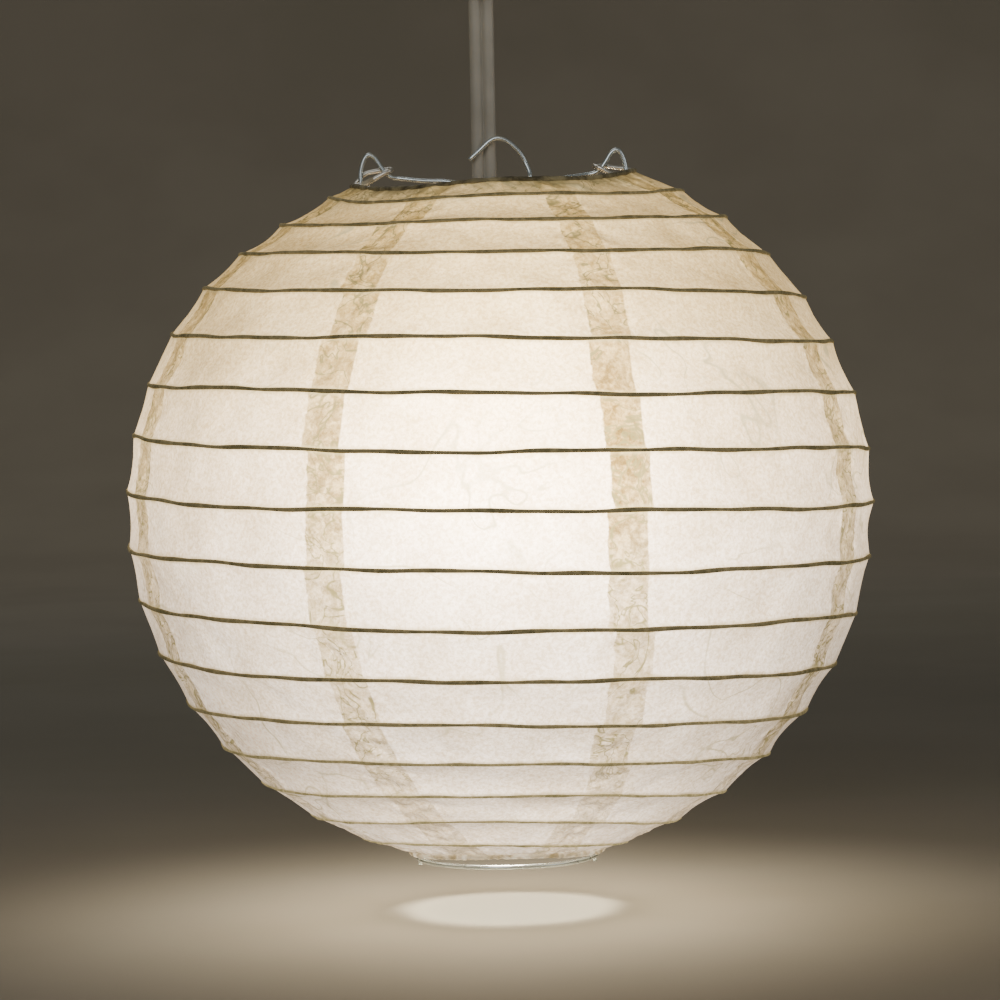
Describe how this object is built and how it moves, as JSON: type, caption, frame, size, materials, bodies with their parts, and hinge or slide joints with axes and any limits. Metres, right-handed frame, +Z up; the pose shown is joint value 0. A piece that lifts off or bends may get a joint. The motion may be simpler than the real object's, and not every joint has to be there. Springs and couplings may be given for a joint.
{
  "type": "round paper lantern with lamp cord",
  "caption": "Round folding paper lantern: pasted paper over a bamboo coil, wire rings with ears, spring wire expander with hook, and a lampholder on a flat cord.",
  "frame": {"origin": "centre of the ceiling fitting's top face, where it meets the ceiling", "axes": "+Z up along the lantern's axis, +X to the right along the expander's bar, -Y to the front, on the side of the cord where the hook hangs"},
  "size_m": [0.2054, 0.2062, 0.2626],
  "materials": {
    "paper": "translucent handmade paper, crinkled, lit from within",
    "paper_edge": "doubled and pasted paper, matt",
    "bamboo": "split bamboo under pasted paper, matt",
    "ring_wire": "galvanised wire",
    "spring_wire": "bright spring wire",
    "cord": "soft flexible plastic, satin",
    "white_plastic": "moulded, satin",
    "brass": "nickelled brass, worn",
    "bulb_glass": "opal glass",
    "screws": "zinc plated"
  },
  "bodies": {
    "ceiling_fitting": {"ceiling_plate": "white_plastic", "rose_cover": "white_plastic", "rose_screw_left": "screws", "rose_screw_right": "screws", "terminal_block": "white_plastic", "cord_grip": "white_plastic"},
    "hanger": {"lamp_cord": "cord", "strain_relief": "white_plastic", "socket_cap": "white_plastic", "socket_shell": "white_plastic", "socket_thread": "brass", "socket_contact": "brass", "expander_frame": "spring_wire", "top_ring": "ring_wire", "top_hem": "paper_edge", "ear_wrap_left": "paper_edge", "ear_wrap_right": "paper_edge", "paper_top_collar": "paper", "rib_turn_01": "bamboo", "paper_band_01": "paper"},
    "shade_turn_02": {"rib_turn_02": "bamboo", "paper_band_02": "paper"},
    "shade_turn_03": {"rib_turn_03": "bamboo", "paper_band_03": "paper"},
    "shade_turn_04": {"rib_turn_04": "bamboo", "paper_band_04": "paper"},
    "shade_turn_05": {"rib_turn_05": "bamboo", "paper_band_05": "paper"},
    "shade_turn_06": {"rib_turn_06": "bamboo", "paper_band_06": "paper"},
    "shade_turn_07": {"rib_turn_07": "bamboo", "paper_band_07": "paper"},
    "shade_turn_08": {"rib_turn_08": "bamboo", "paper_band_08": "paper"},
    "shade_turn_09": {"rib_turn_09": "bamboo", "paper_band_09": "paper"},
    "shade_turn_10": {"rib_turn_10": "bamboo", "paper_band_10": "paper"},
    "shade_turn_11": {"rib_turn_11": "bamboo", "paper_band_11": "paper"},
    "shade_turn_12": {"rib_turn_12": "bamboo", "paper_band_12": "paper"},
    "shade_turn_13": {"rib_turn_13": "bamboo", "paper_band_13": "paper"},
    "shade_turn_14": {"rib_turn_14": "bamboo", "paper_band_14": "paper"},
    "shade_turn_15": {"rib_turn_15": "bamboo", "paper_band_15": "paper"},
    "shade_turn_16": {"rib_turn_16": "bamboo", "paper_band_16": "paper"},
    "shade_bottom": {"rib_tail": "bamboo", "bottom_ring": "ring_wire", "bottom_hem": "paper_edge"},
    "hook": {"hanging_hook": "spring_wire"},
    "bulb_travel": {"bulb_tip": "brass"},
    "bulb": {"bulb_base": "brass", "bulb_glass": "bulb_glass"}
  },
  "joints": [
    {"name": "lantern_swing", "type": "hinge", "parent": "ceiling_fitting", "child": "hanger", "pos_m": [-0.0024, 0, -0.0265], "axis": [0, 1, 0], "range_deg": [-15, 15]},
    {"name": "fold_turn_02", "type": "slide", "parent": "hanger", "child": "shade_turn_02", "axis": [0, 0, 1], "range_m": [0, 0.00384], "deforming": ["paper_band_01"]},
    {"name": "fold_turn_03", "type": "slide", "parent": "shade_turn_02", "child": "shade_turn_03", "axis": [0, 0, 1], "range_m": [0, 0.00507], "deforming": ["paper_band_02"]},
    {"name": "fold_turn_04", "type": "slide", "parent": "shade_turn_03", "child": "shade_turn_04", "axis": [0, 0, 1], "range_m": [0, 0.00693], "deforming": ["paper_band_03"]},
    {"name": "fold_turn_05", "type": "slide", "parent": "shade_turn_04", "child": "shade_turn_05", "axis": [0, 0, 1], "range_m": [0, 0.00907], "deforming": ["paper_band_04"]},
    {"name": "fold_turn_06", "type": "slide", "parent": "shade_turn_05", "child": "shade_turn_06", "axis": [0, 0, 1], "range_m": [0, 0.01083], "deforming": ["paper_band_05"]},
    {"name": "fold_turn_07", "type": "slide", "parent": "shade_turn_06", "child": "shade_turn_07", "axis": [0, 0, 1], "range_m": [0, 0.0119], "deforming": ["paper_band_06"]},
    {"name": "fold_turn_08", "type": "slide", "parent": "shade_turn_07", "child": "shade_turn_08", "axis": [0, 0, 1], "range_m": [0, 0.01266], "deforming": ["paper_band_07"]},
    {"name": "shade_fold", "type": "slide", "parent": "shade_turn_08", "child": "shade_turn_09", "axis": [0, 0, 1], "range_m": [0, 0.01305], "deforming": ["paper_band_08"]},
    {"name": "fold_turn_10", "type": "slide", "parent": "shade_turn_09", "child": "shade_turn_10", "axis": [0, 0, 1], "range_m": [0, 0.01271], "deforming": ["paper_band_09"]},
    {"name": "fold_turn_11", "type": "slide", "parent": "shade_turn_10", "child": "shade_turn_11", "axis": [0, 0, 1], "range_m": [0, 0.01134], "deforming": ["paper_band_10"]},
    {"name": "fold_turn_12", "type": "slide", "parent": "shade_turn_11", "child": "shade_turn_12", "axis": [0, 0, 1], "range_m": [0, 0.00982], "deforming": ["paper_band_11"]},
    {"name": "fold_turn_13", "type": "slide", "parent": "shade_turn_12", "child": "shade_turn_13", "axis": [0, 0, 1], "range_m": [0, 0.0087], "deforming": ["paper_band_12"]},
    {"name": "fold_turn_14", "type": "slide", "parent": "shade_turn_13", "child": "shade_turn_14", "axis": [0, 0, 1], "range_m": [0, 0.0077], "deforming": ["paper_band_13"]},
    {"name": "fold_turn_15", "type": "slide", "parent": "shade_turn_14", "child": "shade_turn_15", "axis": [0, 0, 1], "range_m": [0, 0.00598], "deforming": ["paper_band_14"]},
    {"name": "fold_turn_16", "type": "slide", "parent": "shade_turn_15", "child": "shade_turn_16", "axis": [0, 0, 1], "range_m": [0, 0.00398], "deforming": ["paper_band_15"]},
    {"name": "fold_bottom", "type": "slide", "parent": "shade_turn_16", "child": "shade_bottom", "axis": [0, 0, 1], "range_m": [0, 0.00398], "deforming": ["paper_band_16"]},
    {"name": "hook_tilt", "type": "hinge", "parent": "hanger", "child": "hook", "pos_m": [0, -0.0031, -0.0792], "axis": [1, 0, 0], "range_deg": [0, 75]},
    {"name": "bulb_draw", "type": "slide", "parent": "hanger", "child": "bulb_travel", "axis": [0, 0, -1], "range_m": [0, 0.0141]},
    {"name": "bulb_unscrew", "type": "hinge", "parent": "bulb_travel", "child": "bulb", "pos_m": [-0.0024, 0, -0.158], "axis": [0, 0, -1], "range_deg": [0, 1800]}
  ],
  "couplings": [
    {"joint": "fold_turn_02", "follows": "shade_fold", "ratio": 0.29425},
    {"joint": "fold_turn_03", "follows": "shade_fold", "ratio": 0.38851},
    {"joint": "fold_turn_04", "follows": "shade_fold", "ratio": 0.53103},
    {"joint": "fold_turn_05", "follows": "shade_fold", "ratio": 0.69502},
    {"joint": "fold_turn_06", "follows": "shade_fold", "ratio": 0.82988},
    {"joint": "fold_turn_07", "follows": "shade_fold", "ratio": 0.91188},
    {"joint": "fold_turn_08", "follows": "shade_fold", "ratio": 0.97011},
    {"joint": "fold_turn_10", "follows": "shade_fold", "ratio": 0.97395},
    {"joint": "fold_turn_11", "follows": "shade_fold", "ratio": 0.86897},
    {"joint": "fold_turn_12", "follows": "shade_fold", "ratio": 0.75249},
    {"joint": "fold_turn_13", "follows": "shade_fold", "ratio": 0.66667},
    {"joint": "fold_turn_14", "follows": "shade_fold", "ratio": 0.59004},
    {"joint": "fold_turn_15", "follows": "shade_fold", "ratio": 0.45824},
    {"joint": "fold_turn_16", "follows": "shade_fold", "ratio": 0.30498},
    {"joint": "fold_bottom", "follows": "shade_fold", "ratio": 0.30498},
    {"joint": "bulb_unscrew", "follows": "bulb_draw", "rad_per_m": 2226.5}
  ]
}
